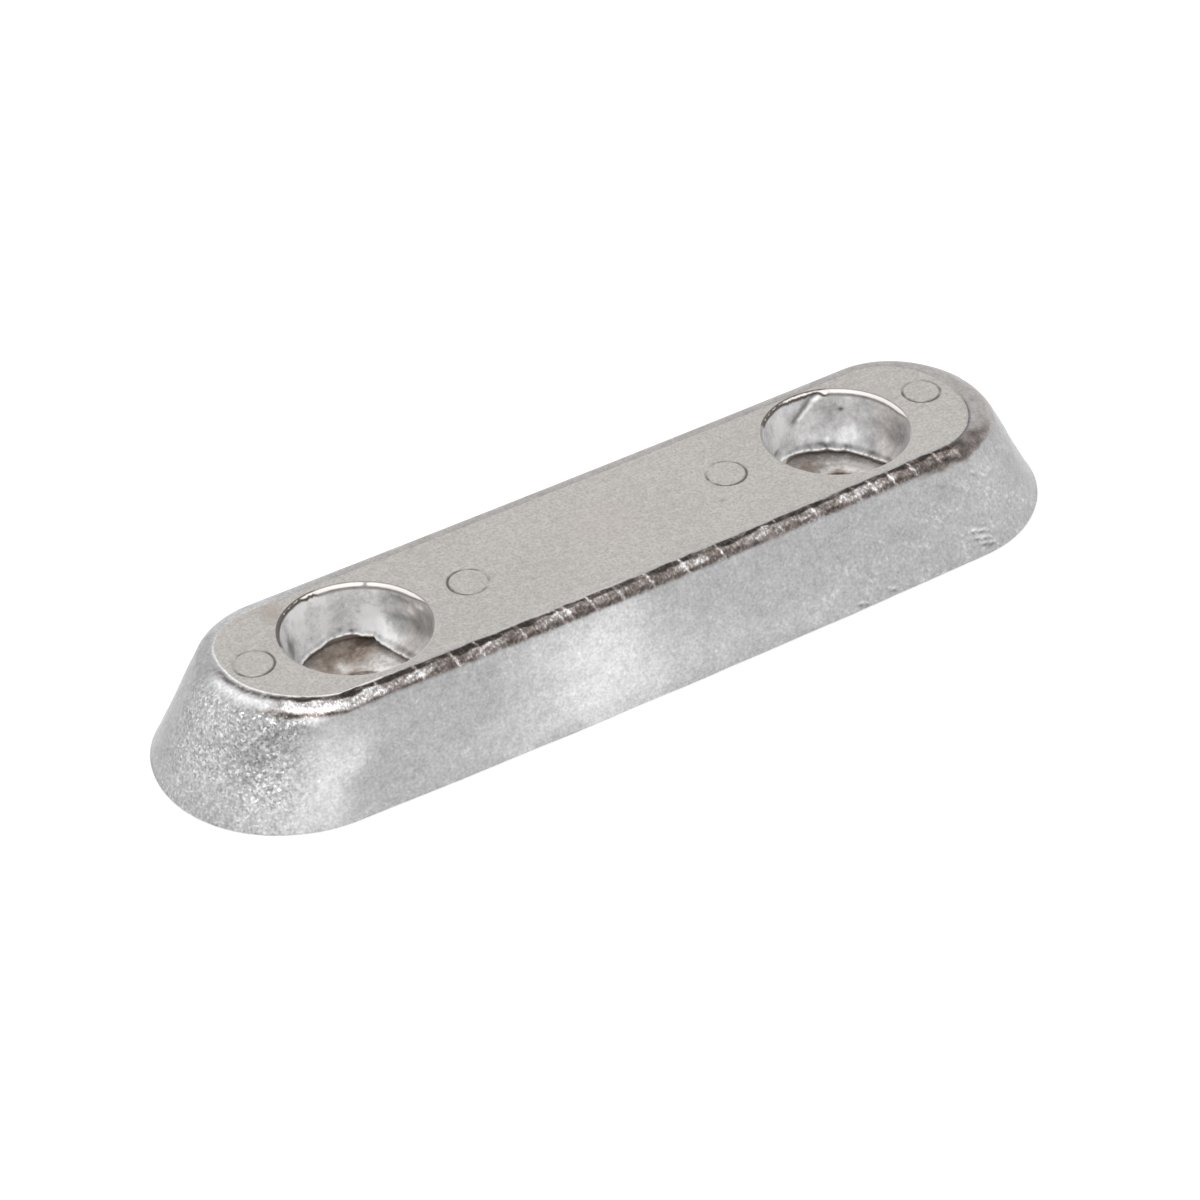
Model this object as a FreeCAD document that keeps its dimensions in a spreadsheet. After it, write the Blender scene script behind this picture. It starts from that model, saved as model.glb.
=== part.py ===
"""Hull anode: a cast zinc bar with tapered walls, full round ends and two deep bolt pockets.

The bar lies on its flat back, which goes against the hull. Each pocket ends on a round steel
plate that is cast into the zinc. A nut or bolt head bears on the plate, and the bolt goes on
through the zinc below it. The origin is the centre of the back face, +X runs along the bar and
+Z points away from the hull. All sizes are in millimetres.
"""

import FreeCAD, Part
import math
import os
import Sketcher

SHEET = "Dimensions"

# name, value, what it is
DIMENSIONS = [
    ("bolt_x", 72.0, "middle of the bar to a bolt hole"),
    ("bar_height", 28.5, "back face to top face"),
    ("mouth_radius", 19.3, "pocket at the top face"),
    ("side_land", 5.5, "pocket's mouth to the side of the top, before its edge is rounded"),
    ("end_land", 22.45, "pocket's mouth to the end of the top, before its edge is rounded"),
    ("side_taper", 10.8, "how much further a side wall reaches at the back than at the top"),
    ("end_taper", 14.95, "how much further an end wall reaches at the back than at the top"),
    ("top_edge_radius", 4.6, "rounding where the walls meet the top"),
    ("back_edge_radius", 0.4, "rounding where the walls meet the back"),
    ("mouth_edge_radius", 0.8, "rounding of the pocket's mouth"),
    ("pocket_depth", 14.8, "top face to the lip over the plate"),
    ("pocket_draft", 2.2, "how much wider a pocket is at its mouth than at its foot"),
    ("lip_width", 0.7, "pocket wall to the inner edge of the lip"),
    ("lip_height", 2.2, "top of the lip to the plate"),
    ("plate_hold", 3.7, "how far the steel plate goes in under the lip"),
    ("plate_thickness", 3.0, "steel plate"),
    ("bolt_hole_radius", 6.0, "hole in the steel plate"),
    ("bolt_hole_chamfer", 0.4, "top edge of the hole in the plate"),
    ("back_hole_clearance", 1.5, "how much wider the hole in the zinc below the plate is"),
    ("mark_radius", 5.2, "round ejector mark"),
    ("mark_height", 0.25, "ejector mark above the top face"),
    ("mark_edge_radius", 0.2, "rounding of an ejector mark"),
    ("mark_root", 0.5, "where an ejector mark's pad starts inside the bar"),
    ("inner_mark_gap", 13.4, "pocket's mouth to the middle of an inner mark"),
    ("outer_mark_gap", 9.0, "pocket's mouth to the middle of an outer mark"),
    ("inner_mark_y", 0.7, "inner marks, off the centre line"),
    ("outer_mark_y", 1.5, "outer marks, off the centre line"),
    ("cut_past", 1.0, "how far a cut runs past the faces that it goes through"),
]

# Sizes that follow from those above
TOP_END_RADIUS = "mouth_radius + side_land"
TOP_END_X = "bolt_x + end_land - side_land"
BACK_END_RADIUS = TOP_END_RADIUS + " + side_taper"
BACK_END_X = TOP_END_X + " + end_taper - side_taper"
FOOT_RADIUS = "mouth_radius - pocket_draft"
LIP_RADIUS = FOOT_RADIUS + " - lip_width"
PLATE_RADIUS = LIP_RADIUS + " + plate_hold"
BACK_HOLE_RADIUS = "bolt_hole_radius + back_hole_clearance"
LIP_Z = "bar_height - pocket_depth"
PLATE_TOP_Z = LIP_Z + " - lip_height"
PLATE_BACK_Z = PLATE_TOP_Z + " - plate_thickness"
INNER_MARK_X = "bolt_x - mouth_radius - inner_mark_gap"
OUTER_MARK_X = "bolt_x + mouth_radius + outer_mark_gap"

# Points of a sketch's geometry, and the sketch's own axis and origin
START, END, MIDDLE = range(1, 4)
X_AXIS = -1
ORIGIN = (-1, 1)
UP = FreeCAD.Vector(0, 0, 1)
SAME = 1e-4


def make_sheet(doc):
    sheet = doc.addObject("Spreadsheet::Sheet", SHEET)
    for row, (name, value, meaning) in enumerate(DIMENSIONS, start=1):
        sheet.set(f"A{row}", name)
        sheet.set(f"B{row}", str(value))
        sheet.set(f"C{row}", meaning)
        sheet.setAlias(f"B{row}", name)
    doc.recompute()
    return sheet


def expression(size):
    """The size, written as names and signs, in the form that a property is bound to."""
    return " ".join(word if word in "+-" else f"{SHEET}.{word}" for word in size.split())


def number(sheet, size):
    """The size, written as names and signs, in millimetres."""
    total, sign = 0.0, 1
    for word in size.split():
        if word in "+-":
            sign = 1 if word == "+" else -1
        else:
            total += sign * sheet.get(word)
    return total


def point(x, y):
    return FreeCAD.Vector(x, y, 0)


def origin_plane(body, role):
    return next(feature for feature in body.Origin.OriginFeatures if feature.Role == role)


def new_sketch(body, name, role, height=None):
    """A sketch on one of the body's origin planes, or at a height over it."""
    sketch = body.newObject("Sketcher::SketchObject", name)
    sketch.AttachmentSupport = [(origin_plane(body, role), "")]
    sketch.MapMode = "FlatFace"
    if height:
        sketch.setExpression(".AttachmentOffset.Base.z", expression(height))
    return sketch


def constrain(sketch, *constraint):
    return sketch.addConstraint(Sketcher.Constraint(*constraint))


def bind(sketch, sheet, name, size, *constraint):
    """A constraint with a size that follows the sheet."""
    index = constrain(sketch, *constraint, number(sheet, size))
    sketch.renameConstraint(index, name)
    sketch.setExpression(f".Constraints.{name}", expression(size))


def add_circle(sketch, sheet, name, radius, x=0.0, y=0.0):
    circle = Part.Circle(point(x, y), UP, number(sheet, radius))
    index = sketch.addGeometry(circle)
    bind(sketch, sheet, f"{name}_radius", radius, "Radius", index)
    return index


def round_ended_outline(sketch, sheet, end_x, end_radius):
    """Two straight sides and two half circles, each in two quarters, centred on the origin."""
    x = number(sheet, end_x)
    radius = number(sheet, end_radius)
    quarter = math.pi / 2
    geometry = []
    for middle_x, first in ((x, -quarter), (x, 0), (-x, quarter), (-x, 2 * quarter)):
        circle = Part.Circle(point(middle_x, 0), UP, radius)
        geometry.append(Part.ArcOfCircle(circle, first, first + quarter))
    geometry.append(Part.LineSegment(point(x, radius), point(-x, radius)))
    geometry.append(Part.LineSegment(point(-x, -radius), point(x, -radius)))
    right_front, right_back, left_back, left_front, back, front = sketch.addGeometry(geometry)
    for one, other in ((right_front, right_back), (left_back, left_front)):
        constrain(sketch, "Coincident", one, MIDDLE, other, MIDDLE)
        constrain(sketch, "Coincident", one, END, other, START)
        constrain(sketch, "PointOnObject", one, END, X_AXIS)
    for one, other in ((right_back, back), (back, left_back), (left_front, front), (front, right_front)):
        constrain(sketch, "Tangent", one, END, other, START)
    constrain(sketch, "Horizontal", back)
    constrain(sketch, "Equal", right_back, left_back)
    constrain(sketch, "Symmetric", left_back, MIDDLE, right_back, MIDDLE, *ORIGIN)
    bind(sketch, sheet, "end_radius", end_radius, "Radius", right_back)
    bind(sketch, sheet, "end_x", end_x, "DistanceX", *ORIGIN, right_back, MIDDLE)


def polygon(sketch, sheet, corners):
    """A closed polygon. Each corner is given by its x and its y, as sizes."""
    places = [point(number(sheet, x), number(sheet, y)) for x, y in corners]
    following = places[1:] + places[:1]
    lines = sketch.addGeometry([Part.LineSegment(a, b) for a, b in zip(places, following)])
    for one, other in zip(lines, lines[1:] + lines[:1]):
        constrain(sketch, "Coincident", one, END, other, START)
    for line, (x, y) in zip(lines, corners):
        bind(sketch, sheet, f"x_{line}", x, "DistanceX", *ORIGIN, line, START)
        bind(sketch, sheet, f"y_{line}", y, "DistanceY", *ORIGIN, line, START)


def lies_at(height):
    """A test for edges that run level at a height."""
    def test(edge):
        box = edge.BoundBox
        return abs(box.ZMin - height) < SAME and abs(box.ZMax - height) < SAME
    return test


def is_circle_at(height, radius):
    """A test for circles of a radius that lie level at a height."""
    level = lies_at(height)

    def test(edge):
        return level(edge) and isinstance(edge.Curve, Part.Circle) and abs(edge.Curve.Radius - radius) < SAME
    return test


def edge_feature(doc, body, kind, name, base, wanted, size):
    """Rounds or chamfers the edges of base that pass the test."""
    doc.recompute()
    edges = [f"Edge{i}" for i, edge in enumerate(base.Shape.Edges, start=1) if wanted(edge)]
    if not edges:
        raise ValueError(f"{name} found no edge")
    feature = body.newObject(f"PartDesign::{kind}", name)
    feature.Base = (base, edges)
    feature.setExpression("Size" if kind == "Chamfer" else "Radius", expression(size))
    doc.recompute()
    return feature


def tapered_bar(doc, body, sheet):
    """The outside of the bar: a loft between the top outline and the larger back outline."""
    top = new_sketch(body, "TopOutline", "XY_Plane", "bar_height")
    round_ended_outline(top, sheet, TOP_END_X, TOP_END_RADIUS)
    back = new_sketch(body, "BackOutline", "XY_Plane")
    round_ended_outline(back, sheet, BACK_END_X, BACK_END_RADIUS)
    bar = body.newObject("PartDesign::AdditiveLoft", "TaperedBar")
    bar.Profile = top
    bar.Sections = [back]
    bar.Ruled = True
    at_top = lies_at(number(sheet, "bar_height"))
    top_edge = edge_feature(doc, body, "Fillet", "TopEdge", bar, at_top, "top_edge_radius")
    return edge_feature(doc, body, "Fillet", "BackEdge", top_edge, lies_at(0.0), "back_edge_radius")


def pocket_pair(doc, body, sheet):
    """Two turned cuts: drafted wall, lip, seat around the steel plate and bolt hole."""
    below, above = "- cut_past", "bar_height + cut_past"
    corners = [
        ("bolt_x", below),
        (f"bolt_x + {BACK_HOLE_RADIUS}", below),
        (f"bolt_x + {BACK_HOLE_RADIUS}", PLATE_BACK_Z),
        (f"bolt_x + {PLATE_RADIUS}", PLATE_BACK_Z),
        (f"bolt_x + {PLATE_RADIUS}", PLATE_TOP_Z),
        (f"bolt_x + {LIP_RADIUS}", PLATE_TOP_Z),
        (f"bolt_x + {LIP_RADIUS}", LIP_Z),
        (f"bolt_x + {FOOT_RADIUS}", LIP_Z),
        ("bolt_x + mouth_radius", "bar_height"),
        ("bolt_x + mouth_radius", above),
        ("bolt_x", above),
    ]
    profile = new_sketch(body, "PocketProfile", "XZ_Plane")
    polygon(profile, sheet, corners)
    axis = new_sketch(body, "PocketAxis", "XZ_Plane")
    x, z = number(sheet, "bolt_x"), number(sheet, "bar_height")
    line = axis.addGeometry(Part.LineSegment(point(x, 0), point(x, z)))
    constrain(axis, "Vertical", line)
    constrain(axis, "PointOnObject", line, START, X_AXIS)
    bind(axis, sheet, "axis_x", "bolt_x", "DistanceX", *ORIGIN, line, START)
    bind(axis, sheet, "axis_length", "bar_height", "DistanceY", line, START, line, END)
    pocket = body.newObject("PartDesign::Groove", "Pocket")
    pocket.Profile = profile
    pocket.ReferenceAxis = (axis, ["Edge1"])
    pocket.Angle = 360
    doc.recompute()
    pair = body.newObject("PartDesign::Mirrored", "PocketPair")
    pair.Originals = [pocket]
    pair.MirrorPlane = (origin_plane(body, "YZ_Plane"), [""])
    body.Tip = pair
    mouths = is_circle_at(number(sheet, "bar_height"), number(sheet, "mouth_radius"))
    return edge_feature(doc, body, "Fillet", "MouthEdges", pair, mouths, "mouth_edge_radius")


def ejector_marks(doc, body, sheet):
    """Four low round pads that the mould's ejector pins left on the top face."""
    sketch = new_sketch(body, "MarkCircles", "XY_Plane", "bar_height - mark_root")
    marks = (("inner", INNER_MARK_X, "inner_mark_y"), ("outer", OUTER_MARK_X, "outer_mark_y"))
    for which, x, y in marks:
        for side, sign in (("left", -1), ("right", 1)):
            name = f"{which}_{side}"
            place = (sign * number(sheet, x), number(sheet, y))
            circle = add_circle(sketch, sheet, name, "mark_radius", *place)
            along = (circle, MIDDLE, *ORIGIN) if side == "left" else (*ORIGIN, circle, MIDDLE)
            bind(sketch, sheet, f"{name}_x", x, "DistanceX", *along)
            bind(sketch, sheet, f"{name}_y", y, "DistanceY", *ORIGIN, circle, MIDDLE)
    pads = body.newObject("PartDesign::Pad", "MarkPads")
    pads.Profile = sketch
    pads.setExpression("Length", expression("mark_height + mark_root"))
    rims = is_circle_at(number(sheet, "bar_height + mark_height"), number(sheet, "mark_radius"))
    return edge_feature(doc, body, "Fillet", "MarkRims", pads, rims, "mark_edge_radius")


def make_anode_body(doc, sheet):
    body = doc.addObject("PartDesign::Body", "AnodeBody")
    body.Label = "anode_body"
    bar = tapered_bar(doc, body, sheet)
    pockets = pocket_pair(doc, body, sheet)
    marks = ejector_marks(doc, body, sheet)
    if not pockets.Shape.Volume < bar.Shape.Volume:
        raise ValueError("the pockets cut nothing")
    if not marks.Shape.Volume > pockets.Shape.Volume:
        raise ValueError("the ejector marks added nothing")
    return body


def make_fixing_plate(doc, sheet, name, x):
    """A flat steel ring on a pocket's axis, held by the zinc all round."""
    body = doc.addObject("PartDesign::Body", name)
    body.Label = name
    sketch = new_sketch(body, f"{name}_outline", "XY_Plane")
    for circle_name, radius in (("rim", PLATE_RADIUS), ("hole", "bolt_hole_radius")):
        circle = add_circle(sketch, sheet, circle_name, radius)
        constrain(sketch, "Coincident", circle, MIDDLE, *ORIGIN)
    ring = body.newObject("PartDesign::Pad", f"{name}_ring")
    ring.Profile = sketch
    ring.setExpression("Length", expression("plate_thickness"))
    hole = is_circle_at(number(sheet, "plate_thickness"), number(sheet, "bolt_hole_radius"))
    edge_feature(doc, body, "Chamfer", f"{name}_chamfer", ring, hole, "bolt_hole_chamfer")
    body.setExpression(".Placement.Base.x", expression(x))
    body.setExpression(".Placement.Base.z", expression(PLATE_BACK_Z))
    return body


def main():
    doc = FreeCAD.newDocument("HullAnode")
    sheet = make_sheet(doc)
    pieces = [
        make_anode_body(doc, sheet),
        make_fixing_plate(doc, sheet, "fixing_plate_left", "- bolt_x"),
        make_fixing_plate(doc, sheet, "fixing_plate_right", "bolt_x"),
    ]
    doc.recompute()
    failed = [thing.Name for thing in doc.Objects if {"Invalid", "Error"} & set(thing.State)]
    if failed:
        raise ValueError(f"these objects failed: {failed}")
    for piece in pieces:
        if piece.Shape.isNull() or not piece.Shape.isValid():
            raise ValueError(f"{piece.Label} has no valid shape")
    os.makedirs("parts", exist_ok=True)
    for piece in pieces:
        piece.Shape.exportStep(f"parts/{piece.Label}.step")
        print(piece.Label, "solids", len(piece.Shape.Solids), "volume_mm3", round(piece.Shape.Volume, 1))


main()
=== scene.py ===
"""Looks of the hull anode: a cast zinc bar with two bolt pockets, each over a steel seat plate.

The casting is one skin, laid out in millimetres over the CAD bar and brought to metres at the
end. The bar lies on its flat back. +X runs along it and +Z points away from the hull.
"""

import math

import bmesh
import bpy
from mathutils import Matrix, Vector, noise


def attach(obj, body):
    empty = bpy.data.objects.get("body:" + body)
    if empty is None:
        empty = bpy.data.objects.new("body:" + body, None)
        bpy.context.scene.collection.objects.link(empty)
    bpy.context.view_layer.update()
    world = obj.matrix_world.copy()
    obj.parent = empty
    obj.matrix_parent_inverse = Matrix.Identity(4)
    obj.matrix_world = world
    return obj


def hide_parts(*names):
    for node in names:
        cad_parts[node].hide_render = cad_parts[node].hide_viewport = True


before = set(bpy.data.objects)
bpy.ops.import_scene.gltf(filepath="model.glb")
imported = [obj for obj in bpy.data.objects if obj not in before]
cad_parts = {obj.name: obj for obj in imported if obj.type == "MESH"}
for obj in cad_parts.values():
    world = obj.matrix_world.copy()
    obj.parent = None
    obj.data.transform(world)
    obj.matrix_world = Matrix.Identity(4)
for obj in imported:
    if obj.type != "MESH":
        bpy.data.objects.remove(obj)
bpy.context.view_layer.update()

MM = 0.001
UP = Vector((0, 0, 1))

# The bar, in millimetres
BAR_HEIGHT = 28.5
BACK_LENGTH, BACK_WIDTH = 256.69, 69.17
TOP_LENGTH, TOP_WIDTH = 227.65, 48.84
SIDE_ROUNDING = 4.6
RIGHT_ROUNDING = 10.2
# rounding of the top edge round the left end: angle from +X, radius
LEFT_ROUNDING = (
    (90, 4.6), (130, 4.6), (145, 5.4), (157, 6.9), (173, 8.6), (192, 9.4), (210, 9.8), (227, 9.4), (244, 8.2),
    (258, 6.4), (270, 4.6),
)
BEND = 0.96          # the casting cooled a little bent: its middle lies this far to the front
BEND_REACH = 128.42  # measured from the middle to here
SET_BACK = 0.57      # the whole bar against its bolt line
FRONT_BOW = 0.89     # extra belly of the front wall
BEAD = 0.10          # fine rim where the mould's two halves met, at the edge of the flat
BOLT_X = 72.0
PLATE_TOP, PLATE_BACK = 11.5, 8.5
PLATE_RADIUS = 20.1
PLATE_HOLE_RADIUS = 6.0
BACK_HOLE_RADIUS = 7.5

# Columns round the bar, and rows from the edge of the flat to the back face
END_COLUMNS, SIDE_COLUMNS = 168, 360
COLUMNS = 2 * (END_COLUMNS + SIDE_COLUMNS)
FIRST_COLUMN = END_COLUMNS + SIDE_COLUMNS
ROUNDING_ROWS, WALL_ROWS = 18, 38
BEAD_ROWS = ((-0.62, 0.0), (-0.45, 0.25), (-0.25, 1.0), (-0.08, 0.45))
FOOT_ROWS = ((0.02, 0.30), (0.08, 0.10), (0.30, 0.0), (1.4, 0.0))

# A place on the skin is its way round the bar (left end, front, right end, back) and its fall from the
# edge of the flat, both in millimetres
END_GIRTH, SIDE_GIRTH = 85.5, 179.7
GIRTH = 2 * (END_GIRTH + SIDE_GIRTH)
FRONT_MIDDLE = END_GIRTH + SIDE_GIRTH / 2
BAND = 5.4           # from the edge of the flat, over the rounding, to the wall
ARC_SHARE = 1.2      # length of the rounding's arc, for a radius of 1
SEAM_BLEND = 35      # the last stretch of the way round, over which the looks run back into the first
MAP_START = 10       # the skin's map starts this far above the edge of the flat

# Thin folds where the zinc froze while it was still running, across the front edge: x, width
COLD_FOLDS = (
    (-80.4, 0.8), (-69.5, 0.9), (-59.5, 0.7), (-52.4, 0.6), (-40.5, 0.7), (-29.3, 0.6), (-26.8, 1.1),
    (-20.0, 0.6), (-12.0, 0.8), (-2.8, 0.7), (7.4, 0.9), (18.5, 0.5), (36.3, 0.6), (47.2, 1.0), (60.7, 0.6),
    (65.7, 0.8), (71.7, 0.8), (78.4, 0.8), (86.5, 0.6), (92.7, 0.9),
)
# Knocks on the walls, each a line from one way and fall to another
KNOCKS = (
    ((264.2, 25.4), (267.8, 26.6)), ((264.5, 27.6), (268.2, 29.0)), ((265.5, 29.6), (268.6, 30.8)),
    ((227.0, 31.0), (229.4, 31.6)), ((236.5, 30.6), (238.4, 31.4)), ((270.3, 10.6), (270.9, 11.0)),
)
# Where the walls are painted brighter or darker, partly the zinc's uneven tone, partly a painted reflection of a lamp
# in the middle of the front wall and painted shade low on the front of the left end: way, fall, reach along and down,
# slant, how much
WALL_PATCHES = (
    (6, 16, 14, 40, 0, 0.12), (25, 10, 4, 13, 0.3, -0.05), (33, 18, 7, 40, 0, -0.05), (49, 6, 10, 7, 0, 0.10),
    (47, 18, 6, 18, 0, 0.06), (60, 27, 12, 7, 0, 0.10), (65, 15, 5, 9, -0.3, -0.12), (72, 8, 8, 2.5, 0, -0.10),
    (79, 24, 7, 13, -0.35, 0.25), (78, 11, 4, 7, -0.2, 0.12), (150, 20, 15, 17, 0.35, 0.25),
    (161, 12, 9, 12, 0.2, 0.14), (174, 24, 18, 9, 0, 0.08), (128, 28, 22, 5, 0, 0.10),
    (205, 27, 26, 5, 0, 0.05), (275, 14, 8, 10, 0, 0.05), (288, 17, 7, 22, 0, -0.06), (306, 14, 10, 22, 0, 0.10),
)


def smooth_step(low, high, value):
    """0 up to low and 1 from high on, with a soft ramp between."""
    share = min(max((value - low) / (high - low), 0), 1)
    return share * share * (3 - 2 * share)


def hump(value, middle, spread):
    """1 in the middle, falling off softly on both sides."""
    return math.exp(-((value - middle) / spread) ** 2)


def grain(x, y, z=0.0):
    """Soft noise between -1 and 1. It is the same each run."""
    return noise.noise(Vector((x, y, z)))


def near_line(x, y, line, width):
    """1 on the line, fading to 0 at a few widths from it."""
    (ax, ay), (bx, by) = line
    run = ((x - ax) * (bx - ax) + (y - ay) * (by - ay)) / ((bx - ax) ** 2 + (by - ay) ** 2)
    run = min(max(run, 0), 1)
    return hump(math.hypot(x - ax - run * (bx - ax), y - ay - run * (by - ay)), 0, width)


# ---- the shape of the bar

def rounding_reach(way):
    """Length down the rounding of the right end and of the back."""
    half_turn = min(max(way / GIRTH * 2 - 1, 0), END_GIRTH / GIRTH * 2) * GIRTH / 2 / END_GIRTH * math.pi
    return ARC_SHARE * (SIDE_ROUNDING + (RIGHT_ROUNDING - SIDE_ROUNDING) * math.sin(half_turn) ** 2)


def station(column):
    """Where a column stands: along the bar from -1 to 1, and its outward direction."""
    column %= COLUMNS
    if column < END_COLUMNS:
        angle = math.pi * (column / END_COLUMNS - 0.5)
        return 1.0, math.cos(angle), math.sin(angle)
    column -= END_COLUMNS
    if column < SIDE_COLUMNS:
        return 1 - 2 * column / SIDE_COLUMNS, 0.0, 1.0
    along, across, out = station(column - SIDE_COLUMNS)
    return -along, -across, -out


def girth(column):
    """Way round the bar to a column: left end, front, right end and back."""
    steps = column - FIRST_COLUMN if column >= FIRST_COLUMN else column - FIRST_COLUMN + COLUMNS
    half, rest = divmod(steps, END_COLUMNS + SIDE_COLUMNS)
    past_end = max(rest - END_COLUMNS, 0)
    return half * GIRTH / 2 + (rest - past_end) * END_GIRTH / END_COLUMNS + past_end * SIDE_GIRTH / SIDE_COLUMNS


def on_outline(place, length, width):
    """A place on a bar's outline. Its front bellies out a little."""
    along, across, out = place
    middle = (length - width) / 2
    belly = FRONT_BOW * (1 - along * along) if out < 0 and abs(along) < 1 else 0
    return Vector((along * middle + across * width / 2, out * width / 2 - belly, 0))


def top_rounding(across, out):
    """Radius of the top edge, which is narrow along the sides and wide round the ends."""
    if across >= 0:
        return SIDE_ROUNDING + (RIGHT_ROUNDING - SIDE_ROUNDING) * across * across
    angle = math.degrees(math.atan2(out, across)) % 360
    for (a, low), (b, high) in zip(LEFT_ROUNDING, LEFT_ROUNDING[1:]):
        if a <= angle <= b:
            return low + (high - low) * (angle - a) / (b - a)


def bent(point):
    """The bar's slight bend, seen from above."""
    point.y += BEND * ((point.x / BEND_REACH) ** 2 - 0.5) + SET_BACK
    return point


def section(column):
    """The bar's outline in one column, from the edge of the flat down to the back face."""
    place = station(column)
    _, across, out = place
    outward = Vector((across, out, 0))
    top = on_outline(place, TOP_LENGTH, TOP_WIDTH)
    foot = on_outline(place, BACK_LENGTH, BACK_WIDTH)
    lean = math.atan2(BAR_HEIGHT, (foot - top).dot(outward))
    radius = top_rounding(across, out)
    start = -radius * math.tan(lean / 2)
    points = [top + outward * (start + inset) + UP * (BAR_HEIGHT + BEAD * lift) for inset, lift in BEAD_ROWS]
    for row in range(ROUNDING_ROWS + 1):
        turn = lean * row / ROUNDING_ROWS
        reach = start + radius * math.sin(turn)
        points.append(top + outward * reach + UP * (BAR_HEIGHT - radius * (1 - math.cos(turn))))
    shoulder = points[-1]
    for row in range(1, WALL_ROWS):
        points.append(shoulder.lerp(foot, row / WALL_ROWS))
    points += [foot - outward * inset + UP * lift for inset, lift in FOOT_ROWS]
    return [bent(point) for point in points]


# ---- the cast surface: its relief in millimetres, and how bright and how brown it froze

def cold_fold(way, fall):
    """Height of the thin ridges across the front edge: 1 on a ridge, below 0 in the hollow beside it."""
    x = way - FRONT_MIDDLE
    height = 0
    for place, width in COLD_FOLDS:
        off = x - place - 0.25 * (fall - 2.5) - 0.3 * grain(fall * 0.9, place)
        if abs(off) < 2.5:
            strength = 0.65 + 0.9 * grain(place, fall / 1.5, 5)
            height += strength * hump(off, 0, width * 0.45) - 0.3 * hump(off, width, width * 0.4)
    return height * smooth_step(-0.9, 0.3, fall) * (1 - smooth_step(BAND - 1.4, BAND + 0.4, fall))


def on_band(way, fall):
    """How much of the shiny rounded edge a place has. Only the front has it."""
    if fall < -0.5 or fall > BAND + 2.5 or not 50 < way < 290:
        return 0
    share = smooth_step(54, 72, way) * (1 - smooth_step(266, 277, way))
    ragged = 0.5 * grain(way / 2.3, 4) + 0.35 * grain(way / 0.9, 9)
    foot = BAND - 0.8 + 1.5 * (1 - smooth_step(66, 100, way))
    top = fall + 0.25 * grain(way / 2.6, 6) + 0.3 * grain(way / 7, 2)
    return share * smooth_step(-0.12, 0.18, top) * (1 - smooth_step(foot - 0.3, foot + 0.9, fall + ragged * 0.5))


def far_edge(way, fall):
    """Painted shade on the same edge on the back, low on the rounding, where it turns away from the light."""
    if way < 296 or way > 528:
        return 0
    share = fall / rounding_reach(way)
    middle = 0.68 + 0.12 * hump(way, 308, 30)
    return smooth_step(298, 322, way) * (1 - smooth_step(508, 526, way)) * hump(share, middle, 0.15)


def crystals_at(way, fall):
    """How strongly the coarse crystals of the left end show."""
    across = smooth_step(29, 43, way) * (1 - smooth_step(67, 80, way))
    return across * smooth_step(3.5, 7, fall) * (1 - 0.45 * smooth_step(23, 31, fall + 4 * grain(way / 6, 3)))


def worms(way, fall):
    """Fine bright wrinkles in the wall near the right end."""
    if not 200 < way < 296 or fall < 7:
        return 0
    zone = smooth_step(205, 224, way) * (1 - smooth_step(284, 294, way))
    zone *= smooth_step(8, 15, fall + 0.12 * (way - 262))
    zone *= smooth_step(-0.25, 0.35, grain(way / 6, fall / 6, 73))
    return zone * smooth_step(0.80, 1.0, 1 - abs(grain(way / 1.9, fall / 1.9, 71)) * 1.6)


def relief(way, fall):
    """Height of the skin over the mould's plain surface."""
    band = on_band(way, fall)
    height = 0.0
    if band:
        crinkle = 0.055 * grain(way / 1.5 + fall * 0.5, fall / 1.8, 3) + 0.05 * grain(way / 4.5, fall / 0.8, 8)
        height += band * (crinkle + 0.07 * hump(fall, 3.0, 0.7) - 0.09 * hump(fall, 4.7, 0.5)
                          - 0.05 * hump(fall, 1.3, 0.7) + 0.16 * cold_fold(way, fall))
    elif 0 < fall < 2 and 30 < way < 90:
        height += 0.05 * grain(way / 1.2, fall / 0.8, 3) - 0.06 * hump(fall, 0.8, 0.4)
    on_wall = smooth_step(BAND - 0.5, BAND + 2, fall)
    if on_wall:
        height += on_wall * (grain(way / 17, fall / 9, 1) * 0.16 + grain(way / 6.5, fall / 6, 5) * 0.05)
        height += on_wall * grain(way / 2.1, fall / 2.1, 7) * 0.025
        crystals = crystals_at(way, fall)
        if crystals:
            height += crystals * (grain(way / 1.7, fall / 1.7, 2) + 0.6 * grain(way / 0.9, fall / 0.9, 6)) * 0.06
        height += 0.05 * worms(way, fall) - 0.22 * knocked(way, fall)
    return height


def wall_brightness(way, fall):
    """Brightness of the walls. Noise moves the patches' borders about."""
    shifted_way = way + 5 * grain(way / 9, fall / 9, 11)
    shifted_fall = fall + 4 * grain(way / 9, fall / 9, 21)
    bright = 0.425 + 0.02 * grain(way / 5, fall / 4, 31) + 0.025 * grain(way / 14, fall / 5, 41)
    for middle, depth, along, down, slant, gain in WALL_PATCHES:
        off = shifted_way - middle - slant * (shifted_fall - depth)
        if abs(off) < 2.2 * along:
            bright += gain * hump(off, 0, along) * hump(shifted_fall, depth, down)
    return bright


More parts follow.
